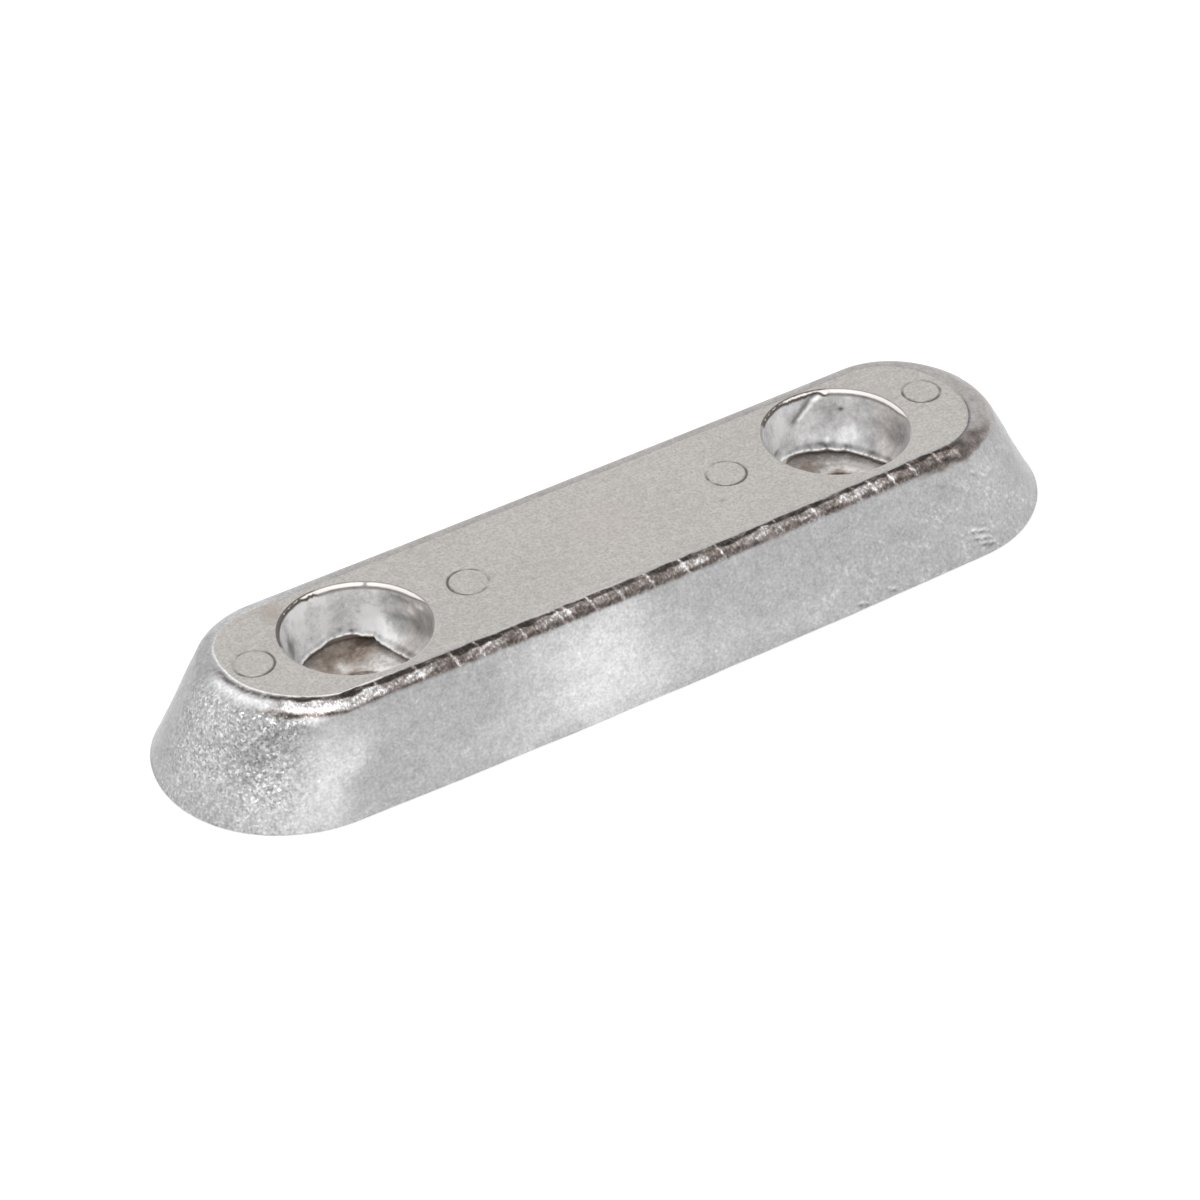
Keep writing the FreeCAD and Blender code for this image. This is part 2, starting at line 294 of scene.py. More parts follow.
def band_brightness(way, fall):
    """The edge is drawn in three: a dark upper strip, partly dark oxide and partly a painted dark reflection; a
    bright crumpled one, a painted reflection of a lamp; and a duller lower one.
    """
    start = 1 - smooth_step(70, 112, way)
    down = fall + 0.6 * grain(way / 9, 1.5) + 0.3 * grain(way / 2.2, 7.5)
    upper = 1.6 + 0.1 * start + 1.1 * grain(way / 5, 9) * (1 - 0.4 * start)
    lower = 3.5 + 1.5 * start
    below = smooth_step(lower - 0.5, lower + 0.5, down)
    # The bright strip is a painted highlight, strongest towards the left end.
    streak = smooth_step(upper - 0.3, upper + 0.3, down) * (1 - below)
    lit = grain(way / 10, 3, 81) + 0.12 * grain(way / 3, 5) + 0.6 * start + 0.2 * hump(way, 228, 28)
    lit = smooth_step(-0.25, 0.4, lit)
    soft = smooth_step(-0.1, 0.45, grain(way / 6, fall / 3, 51))
    bright = 0.05 + 0.11 * soft + 0.08 * below * (1 - start) + streak * (0.12 + (0.34 + 0.26 * start) * lit)
    bright *= 1 + 0.8 * grain(way / 1.9 + fall * 0.8, fall / 1.4, 61)
    # Painted highlights on the ridges of the cold folds.
    bright += (0.50 + 0.32 * (streak + 0.3 * below)) * max(cold_fold(way, fall), 0)
    return min(max(bright, 0.04), 0.92)


def at_left_edge(way):
    """How much of the way belongs to the front half of the left end's edge."""
    return smooth_step(33, 44, way) * (1 - smooth_step(72, 90, way))


def end_rim(way, fall):
    """The ends' edges. Left: a fine bright rim and a bright rounding, both painted highlights, with dark teeth
    between. Right: a fine dark line.
    """
    rim = 0.45 * hump(fall, -0.2, 0.26) * smooth_step(14, 34, way) * (1 - smooth_step(90, 106, way))
    teeth = smooth_step(-0.30, 0.05, grain(way / 0.9 + fall / 2, fall / 2, 91) + 0.25 * smooth_step(50, 70, way))
    dark = -0.38 * hump(fall, 1.15 + 0.5 * grain(way / 3, 2), 0.8) * teeth
    # Painted highlight on the left end's rounding.
    gleam = 0.36 * hump(fall, 3.3, 1.2) * (1 + 0.8 * grain(way / 0.9, fall / 0.9, 14)) * smooth_step(35, 44, way)
    line = smooth_step(264, 276, way) * (1 - smooth_step(294, 304, way))
    far_line = (0.08 * hump(fall, -0.3, 0.2) - 0.34 * hump(fall, 0.15, 0.3)) * line
    return rim + at_left_edge(way) * (dark + gleam) + far_line


def knocked(way, fall):
    """1 in the middle of a knock, fading to 0 beside it."""
    if not 225 < way < 272:
        return 0
    return max(near_line(way, fall, line, 0.4) for line in KNOCKS)


def skin_look(way, fall):
    """Brightness, how shiny and crumpled, crystals and warmth of a place on the outside."""
    band = on_band(way, fall)
    bright = wall_brightness(way, fall) + end_rim(way, fall)
    # Painted highlight just above each knock and painted shade just below it.
    bright += 0.24 * knocked(way, fall + 0.4) - 0.24 * knocked(way, fall - 0.35) + 0.16 * worms(way, fall)
    crown = smooth_step(276, 290, way) * smooth_step(-0.9, -0.6, fall)
    crown *= 1 - smooth_step(0.75, 1.0, fall / rounding_reach(way))
    bright += (0.385 + 0.05 * grain(way / 5, fall / 3, 33) + end_rim(way, fall) - bright) * crown
    # Painted shade, slightly warm, low on the back's rounding.
    far = far_edge(way, fall)
    bright += (0.22 - bright) * 0.6 * far
    dull = smooth_step(250, 264, way) * (1 - smooth_step(274, 283, way - 1.5 * fall)) * smooth_step(0, 0.8, fall)
    dull *= 1 - smooth_step(5.4, 6.6, fall + 0.8 * grain(way / 4, 8))
    bright += (0.17 + 0.16 * grain(way / 3.5, fall / 2, 15) - bright) * 0.9 * dull
    if band:
        bright += (band_brightness(way, fall) * (1 - 0.4 * dull) - bright) * band
    shine = max(band, 0.6 * dull)
    edge = 0.5 * at_left_edge(way) * hump(fall, 1.1, 0.9)
    warmth = max(0.85 * dull, 0.38 * crown, 0.5 * far, edge)
    return Vector((bright, shine, crystals_at(way, fall), warmth))


def all_round(look, way, fall):
    """A look of the skin that runs on without a seam where the way round begins again."""
    here = look(way, fall)
    share = smooth_step(GIRTH - SEAM_BLEND, GIRTH, way)
    return here + (look(way - GIRTH, fall) - here) * share if share else here


# ---- meshes

def tube(bm, columns, rows):
    """A plain tube of quads, whose vertices are given by column and row, the top row first."""
    bmesh.ops.create_cone(bm, segments=columns, radius1=1, radius2=1, depth=rows - 1, cap_ends=False)
    upright = [edge for edge in bm.edges if abs(edge.verts[0].co.z - edge.verts[1].co.z) > 0.5]
    bmesh.ops.subdivide_edges(bm, edges=upright, cuts=rows - 2, use_grid_fill=False)
    grid = {}
    for vert in bm.verts:
        column = round(math.atan2(vert.co.y, vert.co.x) / math.tau * columns) % columns
        grid[vert] = (column, round((rows - 1) / 2 - vert.co.z))
    return grid


def bar_skin(bm):
    """The outside of the bar. The way round and down it is kept as the map "skin", its looks as "cast"."""
    looks = bm.verts.layers.float_color.new("cast")
    skin = bm.loops.layers.uv.new("skin")
    sections = [section(column) for column in range(COLUMNS)]
    rows = len(sections[0])
    grid = tube(bm, COLUMNS, rows)
    first_band_row = len(BEAD_ROWS)
    falls = []
    for points in sections:
        fall, down = 0.0, []
        for a, b in zip([points[0]] + points, points):
            fall += (b - a).length
            down.append(fall)
        edge_of_flat = down[first_band_row]
        falls.append([fall - edge_of_flat for fall in down])
    for vert, (column, row) in grid.items():
        vert.co = sections[column][row]
    bmesh.ops.recalc_face_normals(bm, faces=bm.faces)
    bm.normal_update()
    last = rows - 3
    for vert, (column, row) in grid.items():
        way, fall = girth(column), falls[column][row]
        if first_band_row <= row <= last:
            vert.co += vert.normal * all_round(relief, way, fall)
        vert[looks] = all_round(skin_look, way, fall)
    for face in bm.faces:
        ways = [girth(grid[loop.vert][0]) for loop in face.loops]
        wraps = max(ways) - min(ways) > GIRTH / 2
        for loop, way in zip(face.loops, ways):
            column, row = grid[loop.vert]
            across = (way + GIRTH * (wraps and way < GIRTH / 2)) / GIRTH
            loop[skin].uv = (across, (falls[column][row] + MAP_START) / GIRTH)
        face.material_index = SKIN


# Pockets: steps round and down the wall, and degrees round it to a millimetre
POCKET_STEPS = 240
WALL_STEPS = 24
DEGREES_PER_MM = 3.2
BACK_OF_POCKET = math.radians(59)   # where a mouth is drawn in most
# The mouth's rounded edge: radius, height, and how far the rim's bright line, a painted highlight, and its dark
# border, painted shade, lie there
MOUTH_EDGE = (
    (19.85, 28.5, 0.0, 0.4), (19.55, 28.47, 0.0, 1.0), (19.3, 28.39, 0.35, 0.4), (19.08, 28.25, 1.0, 0.0),
    (18.88, 28.03, 1.0, 0.0), (18.74, 27.78, 0.3, 0.5), (18.64, 27.48, 0.0, 1.0), (18.58, 27.1, 0.0, 0.5),
)
CRISP_RADIUS = 19.5  # the rounding is pulled out to a crisp edge of this radius where the rim isn't bright
WALL_FOOT = (17.45, 15.2)
# The foot of the wall ends in a soft lip over the plate
LIP = (
    (17.38, 14.85), (17.28, 14.55), (17.1, 14.32), (16.85, 14.18), (16.62, 14.08), (16.46, 13.95), (16.4, 13.75),
    (16.45, 13.45), (16.6, 13.1), (16.75, 12.75), (16.95, 12.4), (17.1, 12.0),
)
LIP_EDGE = 13.95
LIP_RADIUS = 16.4    # as the mould made it
LIP_ROOT = 12.1      # below this height nothing crept
CREEP_FROM = 20.5    # the zinc's creep over the plate starts at this height of the wall
RAGGED_TO = 133      # a torn rim is ragged up to this angle
PLATE_SEAT = (
    (18.5, 11.55), (PLATE_RADIUS, PLATE_TOP), (PLATE_RADIUS, PLATE_BACK), (BACK_HOLE_RADIUS, PLATE_BACK),
    (BACK_HOLE_RADIUS, 0.35), (7.8, 0.0),
)
# The pockets by their places. An angle is taken from +X, and a place on a wall is an angle and a height.
#   shift, drawn_in: the mouth's shift against the floor, and how much its back is drawn in
#   tone: brightness of the whole wall
#   lip: how near the axis the zinc crept over the plate (angle, radius)
#   patches: where the wall is painted brighter or darker, partly its own tone and partly painted highlight where it
#       catches the light (place, reach in degrees and millimetres, how much)
#   ridge, groove: a raised and a sunk line that run down from the torn rim, from place to place
#   crease: between which angles a dark crease, painted as shade, lies over the lip
#   spots: small light and dark spots (place, how much)
#   chips: where the rim is torn from, where the bright thread along it ends, and where it is torn to
#   bright_rim, rim_gap: between which angles the rim is round and bright with a painted highlight, and where that
#       line has a gap
#   drop: at which angle bright zinc ran down below the lip's edge
POCKETS = {
    -BOLT_X: {
        "shift": (-1.03, 0.35), "drawn_in": 1.0, "tone": 0.43,
        "lip": ((-75, 16.5), (-45, 15.6), (-11, 12.6), (0, 11.5), (16, 11.0), (28, 11.5), (38, 12.2), (46, 13.4),
                (51, 14.9), (61, 15.5), (68, 16.2), (76, 16.6), (83, 16.7), (105, 15.7), (129, 16.1), (150, 16.5),
                (285, 16.5)),
        "patches": (
            (50, 17.2, 9, 1.8, 0.22), (50, 20.3, 7, 1.0, 0.26), (21, 25.8, 8, 1.3, -0.18), (57, 18.0, 12, 3.5, 0.10),
            (118, 22.5, 8, 4.5, 0.16), (28, 18.5, 10, 3.2, -0.20), (112, 25.5, 9, 1.5, 0.12), (94, 18.5, 6, 3, 0.12),
            (91, 25.5, 6, 1.3, 0.12), (136, 19.0, 6, 3.4, -0.30), (158, 24, 6, 3.5, -0.16), (72, 21.5, 12, 6, -0.06),
            (14, 23.4, 5, 0.8, 0.22), (3, 25.3, 4, 0.6, 0.20), (20, 21.1, 4, 0.8, 0.16), (9, 19.5, 15, 6, -0.15),
            (-3, 22, 18, 8, -0.12), (-16, 23.5, 12, 5, -0.17), (34, 24.5, 12, 2.5, -0.10), (28, 14.8, 14, 1.6, 0.18),
        ),
        "ridge": None, "groove": None, "crease": None,
        "spots": ((80, 15.2, -0.2), (70.5, 14.5, -0.2), (62, 20, -0.1), (110, 19, 0.1)),
        "chips": (96, 106, 168), "bright_rim": (2, 95), "rim_gap": 53, "drop": None,
    },
    BOLT_X: {
        "shift": (-0.72, 1.02), "drawn_in": 0.0, "tone": 0.40,
        "lip": ((-75, 16.4), (-40, 15.6), (-7, 13.9), (11, 12.4), (29, 12.1), (53, 12.7), (74, 13.7), (91, 15.0),
                (105, 16.6), (110, 16.8), (120, 17.0), (150, 16.5), (285, 16.4)),
        "patches": (
            (46, 17.3, 8, 2.0, 0.06), (70, 16.5, 20, 2, -0.10), (26, 15.5, 12, 3, -0.20), (112, 22.3, 10, 4, 0.16),
            (143, 26.5, 7, 2, 0.08), (77, 20.7, 7, 2, 0.10), (88, 17.5, 12, 2.5, 0.08), (124.5, 19.3, 4, 1.2, 0.6),
            (124, 17.2, 5, 1.0, -0.26), (117, 13.4, 5, 1.2, 0.5), (-6, 22.8, 14, 4.5, -0.16), (20, 22, 12, 4, -0.08),
            (64, 21, 11, 5, -0.10), (0, 18, 12, 4, -0.08), (-20, 22, 16, 8, -0.08), (28, 14.2, 6, 1.2, 0.18),
        ),
        "ridge": ((63, 28.2), (69, 26.4), (75, 25.4)), "groove": ((72, 27.3), (79, 25.2), (85, 23.6), (94, 21.4)),
        "crease": (62, 98),
        "spots": ((52.5, 23.1, -0.40), (71.5, 13.9, -0.2), (49, 14.2, -0.15), (68, 15.6, 0.2), (58, 24.4, -0.1)),
        "chips": (66, 101, 135), "bright_rim": (-12, 67), "rim_gap": None, "drop": 116,
    },
}
PAD_TOP = 28.6       # of an ejector mark
# Round marks that the mould's ejector pins left: place, radius, and the angle where the ring is deepest
MARKS = ((-101.0, 1.95, 5.15, -50), (-40.8, 0.3, 5.2, 150), (37.5, 1.9, 5.25, -60), (99.9, 3.2, 4.95, -110))
# A mark's ring and the rim of its pad: how far off the ring's middle, height, how dark it is painted as shade
MARK_PROFILE = (
    (0.6, 28.5, 0.0), (0.38, 28.46, 0.35), (0.22, 28.3, 1.0), (0.04, 28.2, 1.0), (-0.14, 28.28, 1.0),
    (-0.3, 28.5, 0.4), (-0.48, 28.6, 0.0), (-0.8, 28.62, 0.0), (-1.5, 28.6, 0.0),
)
PLATE_RINGS = (17.2, 16.2, 15.2, 14.2, 13.2, 12.4, 11.6, 10.8, 10.1, 9.4, 8.7, 8.0, 7.3)
PLATE_PROFILE = (
    (PLATE_RADIUS, PLATE_BACK), (PLATE_RADIUS, PLATE_TOP - 0.15), (PLATE_RADIUS - 0.15, PLATE_TOP), (18.2, PLATE_TOP),
    *((radius, PLATE_TOP) for radius in PLATE_RINGS), (6.7, PLATE_TOP - 0.06), (6.3, PLATE_TOP - 0.12),
    (6.08, PLATE_TOP - 0.3), (PLATE_HOLE_RADIUS, PLATE_TOP - 0.6), (PLATE_HOLE_RADIUS, PLATE_BACK + 0.3),
    (6.3, PLATE_BACK),
)
# Plates: place, how deep the punch sank the middle (below 0: raised it), then light and dark places
# (place from the axis, reach, how much). The dark places at the back, under the lip, are painted shade.
PLATES = {
    "left": (-BOLT_X, 1.4, (
        (-9, 6, 5, -0.16), (-3, 11, 5, -0.30), (5, 12, 5, -0.30), (-5, 1, 4.5, 0.14), (-1.5, 9.2, 1.8, 0.34),
        (9, 15, 3, -0.20), (9, 2, 4.5, 0.20), (-12, -2, 4, -0.10), (12, 4.5, 2, 0.12),
    )),
    "right": (BOLT_X, -0.3, (
        (-11, 5, 5, -0.32), (-5, 9, 4, -0.26), (-4, 3, 2.5, -0.14), (1, 8, 3.5, 0.08), (3, 4.5, 2.2, -0.26),
        (8, 5, 4, 0.16), (11, 2, 2.8, 0.30), (6, 8.5, 3, 0.06), (-1, 12, 4, -0.14),
    )),
}

# The casting's finishes, in the order of its materials
SKIN, FLAT, POCKET, BACK = range(4)


def turned(profile, x, steps):
    """A profile of radii and heights, turned about an upright axis."""
    bm = bmesh.new()
    wire = [bm.verts.new((x + radius, 0, height)) for radius, height in profile]
    edges = [bm.edges.new(pair) for pair in zip(wire, wire[1:])]
    bmesh.ops.spin(bm, geom=wire + edges, cent=(x, 0, 0), axis=UP, angle=math.tau, steps=steps, use_merge=True)
    bmesh.ops.remove_doubles(bm, verts=bm.verts, dist=0.001)
    return bm


def join(bm, part, material):
    """Adds a part's faces to the casting."""
    for face in part.faces:
        face.material_index = material
    mesh = bpy.data.meshes.new("part")
    part.to_mesh(mesh)
    part.free()
    bm.from_mesh(mesh)
    bpy.data.meshes.remove(mesh)


def lip_reach(kind, degrees):
    """How near the axis the zinc crept over the plate."""
    degrees += 360 * (degrees < -75)
    for (a, low), (b, high) in zip(kind["lip"], kind["lip"][1:]):
        if a <= degrees <= b:
            return low + (high - low) * smooth_step(a, b, degrees)


def near_path(degrees, height, path, width):
    """As near_line, for a bent line of angles and heights on a pocket's wall."""
    places = [(angle / DEGREES_PER_MM, level) for angle, level in path]
    return max(near_line(degrees / DEGREES_PER_MM, height, line, width) for line in zip(places, places[1:]))


def rim_shares(kind, degrees):
    """Where the mouth's rim is drawn out round and bright with a painted highlight, torn, or torn to a thin bright
    thread.
    """
    first, middle, last = kind["chips"]
    torn = smooth_step(first - 4, first, degrees) * (1 - smooth_step(last, last + 4, degrees))
    start, end = kind["bright_rim"]
    bright = smooth_step(start - 10, start + 12, degrees) * (1 - smooth_step(end - 3, end + 3, degrees))
    thread = torn * (1 - smooth_step(middle - 2, middle + 2, degrees)) * (0.85 + 0.8 * grain(degrees / 2.2, 0.7, 47))
    return bright, torn, min(max(thread, 0), 1)


def pocket_look(kind, degrees, height, line, border):
    """Brightness and brownness of a place in a pocket, which has no crystals and no warmth of its own."""
    off = grain(degrees / 14, height / 3, 17)
    bright = kind["tone"] + 0.05 * off + 0.07 * grain(degrees / 6, height / 2.2, 27)
    bright += 0.05 * grain(degrees / 2.5, height, 37)
    # Brighter and darker places: partly the wall's own tone, partly painted highlight.
    for middle, level, wide, tall, gain in kind["patches"]:
        around = abs(degrees - middle + 4 * off)
        if around < 2.2 * wide:
            bright += gain * hump(around, 0, wide) * hump(height + 0.8 * off, level, tall)
    for middle, level, gain in kind["spots"]:
        bright += gain * hump(degrees / DEGREES_PER_MM, middle / DEGREES_PER_MM, 0.7) * hump(height, level, 0.55)
    brown = 0.06 + 0.3 * hump(degrees, 4, 18)
    # Painted shade along the groove, and painted highlights beside it and on the ridge.
    if kind["ridge"]:
        bright -= 0.24 * near_path(degrees, height, kind["groove"], 1.25)
        bright += 0.30 * near_path(degrees + 4.5, height, kind["groove"], 0.4)
        bright += 0.5 * near_path(degrees, height, kind["ridge"], 0.5)
    # Painted shade in the crease over the lip.
    if kind["crease"]:
        first, last = kind["crease"]
        crease = smooth_step(first - 10, first + 10, degrees) * (1 - smooth_step(last - 6, last + 6, degrees))
        bright -= 0.26 * crease * hump(height, 14.9, 0.4) * (0.75 + 0.8 * grain(degrees / 8, 3, 77))
    # Painted shade on the lip's upward rounding, and a painted highlight along its edge.
    bright -= 0.18 * hump(height, 14.35, 0.4)
    bright += 0.32 * hump(height, LIP_EDGE, 0.14) * smooth_step(-0.35, 0.1, grain(degrees / 4, 4, 29))
    # Painted shadow, browned, under the lip, left out where bright zinc ran down.
    if PLATE_BACK < height < LIP_EDGE - 0.1:
        under = smooth_step(LIP_EDGE - 0.1, LIP_EDGE - 0.45, height)
        if kind["drop"]:
            under *= 1 - hump(degrees, kind["drop"], 4)
        bright += (0.13 - bright) * under
        brown = max(brown, under)
    # Painted shade in the hole below the plate.
    elif height <= PLATE_BACK:
        bright = 0.26
    if line or border:
        rim, torn, thread = rim_shares(kind, degrees)
        if kind["rim_gap"]:
            rim *= 1 - hump(degrees, kind["rim_gap"], 3)
        flecks = 0.6 * smooth_step(0.15, 0.35, grain(degrees / 1.6, 0.7, 47)) * (1 - smooth_step(128, 140, degrees))
        rim = max(rim, thread * smooth_step(27.9, 28.1, height), torn * flecks * smooth_step(28.1, 28.25, height))
        # The rim's edge rows are painted darker as shade where the mouth's edge faces the front, and its bright line
        # is a painted highlight.
        seen = smooth_step(-30, 0, degrees) * (1 - smooth_step(185, 215, degrees))
        plain = 0.28 - 0.12 * seen * (1 - rim) * max(line, border) - 0.14 * torn
        bright = plain + (0.92 - plain) * rim * line - 0.13 * rim * border
        brown = 0.25 + 0.3 * border + 0.4 * torn * (1 - rim)
    return min(max(bright, 0.04), 0.95), min(brown, 1), 0.0, 0.0


def pocket(x):
    """A bolt pocket: its mouth, wall, lip and plate seat, and the hole below the plate."""
    kind = POCKETS[x]
    shift_x, shift_y = kind["shift"]
    edge = {round(height, 3): (line, border) for _, height, line, border in MOUTH_EDGE}
    mouth = [place[:2] for place in MOUTH_EDGE]
    steps = [step / WALL_STEPS for step in range(1, WALL_STEPS)]
    wall = [[a + (b - a) * share for a, b in zip(mouth[-1], WALL_FOOT)] for share in steps]
    part = turned((*mouth, *wall, WALL_FOOT, *LIP, *PLATE_SEAT), x, POCKET_STEPS)
    looks = part.verts.layers.float_color.new("cast")
    for vert in part.verts:
        height = vert.co.z
        angle = math.atan2(vert.co.y, vert.co.x - x)
        degrees = math.degrees(angle)
        degrees += 360 * (degrees < -75)
        outward = Vector((math.cos(angle), math.sin(angle), 0))
        radius = math.hypot(vert.co.x - x, vert.co.y)
        rim, torn, thread = rim_shares(kind, degrees)
        vert[looks] = pocket_look(kind, degrees, height, *edge.get(round(height, 3), (0, 0)))
        inward = kind["drawn_in"] * max(math.cos(angle - BACK_OF_POCKET), 0) ** 2 * smooth_step(14, 27, height)
        if height > WALL_FOOT[1] and radius < CRISP_RADIUS:
            crisp = 0.78 * (1 - max(rim, 0.6 * thread)) * (1 - 0.35 * torn)
            up = min((height - WALL_FOOT[1]) / (mouth[-1][1] - WALL_FOOT[1]), 1)
            inward -= crisp * up * (CRISP_RADIUS - max(radius, mouth[-1][0]))
            vert.co.z += crisp * up * (BAR_HEIGHT - max(height, mouth[-1][1]))
        on_wall = smooth_step(14, 16, height) * (1 - smooth_step(27, 27.4, height))
        if on_wall:
            soft = 0.16 * grain(degrees / 14, height / 3, 17) + 0.10 * grain(degrees / 5, height / 2.2, 27)
            inward += on_wall * soft
        if kind["ridge"] and 20 < height < 28.3:
            inward += 0.7 * near_path(degrees, height, kind["ridge"], 0.5)
            inward -= 0.6 * near_path(degrees, height, kind["groove"], 1.0)
        if LIP_ROOT < height < CREEP_FROM:
            creep = ((CREEP_FROM - height) / (CREEP_FROM - LIP_EDGE)) ** 2 if height > LIP_EDGE else 1
            creep *= smooth_step(LIP_ROOT, 13.2, height)
            inward += creep * (LIP_RADIUS - lip_reach(kind, degrees))
            edge_share = smooth_step(LIP_ROOT, 13.4, height) * (1 - smooth_step(14.1, 14.8, height))
            inward += edge_share * (0.18 * grain(degrees / 5, 3) + 0.10 * grain(degrees / 2, 5))
            vert.co.z += edge_share * (0.30 * grain(degrees / 11, 7) + 0.10 * grain(degrees / 3, 9))
        if 27.6 < height < BAR_HEIGHT - 0.01 and kind["chips"][0] <= degrees <= RAGGED_TO:
            ragged = grain(degrees / 3.2, 1.3, 57) + 0.6 * grain(degrees / 1.4, 2.2, 67)
            inward += 0.5 * ragged * hump(height, 28.2, 0.35)
            vert.co.z += 0.16 * ragged * hump(height, 28.3, 0.15)
        vert.co -= outward * inward
        rise = min(max((height - 14) / (BAR_HEIGHT - 14), 0), 1)
        vert.co.x += shift_x * rise
        vert.co.y += shift_y * rise
    return part


def ejector_mark(x, y, radius, deepest):
    """A round pad in a sunk ring. The ring's painted shade goes into the third channel of its looks."""
    part = turned([(radius + off, height) for off, height, _ in MARK_PROFILE] + [(0, PAD_TOP)], x, 72)
    looks = part.verts.layers.float_color.new("cast")
    for vert in part.verts:
        off = math.hypot(vert.co.x - x, vert.co.y) - radius
        angle = math.atan2(vert.co.y, vert.co.x - x)
        ring = next((dark for place, _, dark in MARK_PROFILE if abs(place - off) < 0.01), 0)
        depth = 0.65 + 0.40 * math.cos(angle - math.radians(deepest)) + 0.8 * grain(angle * 2, x)
        vert[looks] = (0.3, 0, min(max(ring * depth, 0), 1), 0)
        if vert.co.z < BAR_HEIGHT:
            vert.co.z += (BAR_HEIGHT - vert.co.z) * (0.5 - 0.5 * min(depth, 1))
        vert.co.y += y
    return part


def boundary(bm, height):
    """The open edges that lie at a height."""
    return [edge for edge in bm.edges if edge.is_boundary and all(abs(v.co.z - height) < 1e-3 for v in edge.verts)]


def zinc_casting():
    """Skin, pockets and marks as one shell. The flat and the back face close what is open between them."""
    bm = bmesh.new()
    bar_skin(bm)
    for x in POCKETS:
        join(bm, pocket(x), POCKET)
    for place in MARKS:
        join(bm, ejector_mark(*place), FLAT)
    for height, material in ((BAR_HEIGHT, FLAT), (0, BACK)):
        edges = boundary(bm, height)
        filled = bmesh.ops.triangle_fill(bm, edges=edges, use_beauty=True, use_dissolve=False)
        for face in filled["geom"]:
            if isinstance(face, bmesh.types.BMFace):
                face.material_index = material
        for edge in edges:
            edge.smooth = False
    return piece("zinc_casting", bm)


def seat_plate(name, x, sunk, stains_and_shade):
    """A steel plate with the burr of its punched hole. The punch sank the middle a little."""
    bm = turned(PLATE_PROFILE + PLATE_PROFILE[:1], x, 96)
    looks = bm.verts.layers.float_color.new("cast")
    for vert in bm.verts:
        right, back = vert.co.x - x, vert.co.y
        radius = math.hypot(right, back)
        # The plate starts bright, as painted light against the pocket's shade; the dark places under the lip are
        # painted shade.
        shade = 0.50 + 0.10 * grain(right / 2.2, back / 2.2, x) + 0.10 * grain(right / 0.9, back / 0.9, x)
        for place_x, place_y, reach, gain in stains_and_shade:
            shade += gain * hump(math.hypot(right - place_x, back - place_y), 0, reach)
        # A painted dark ring of shade at the hole's edge, with a lighter ring outside it.
        shade += 0.06 * hump(radius, 7.6, 0.6) - 0.12 * hump(radius, 6.2, 0.3)
        vert[looks] = (min(max(shade, 0.06), 0.95), 1 - smooth_step(0.15, 0.55, shade), 0, 0)
        if vert.co.z > PLATE_TOP - 0.7 and radius < PLATE_RADIUS - 1:
            burr = 0.05 * hump(radius, 8.5, 0.7) - 0.12 * hump(radius, 10.1, 0.7)
            vert.co.z += 0.06 * grain(right / 3, back / 3, 5) + burr - sunk * (1 - smooth_step(5.5, 14, radius))
    return piece(name, bm)


def piece(name, bm):
    """Closes a mesh in millimetres and makes it an object in metres."""
    bmesh.ops.recalc_face_normals(bm, faces=bm.faces)
    for face in bm.faces:
        face.smooth = True
    bmesh.ops.scale(bm, vec=(MM,) * 3, verts=bm.verts)
    mesh = bpy.data.meshes.new(name)
    bm.to_mesh(mesh)
    bm.free()
    made = bpy.data.objects.new(name, mesh)
    bpy.context.scene.collection.objects.link(made)
    return made


# ---- finishes

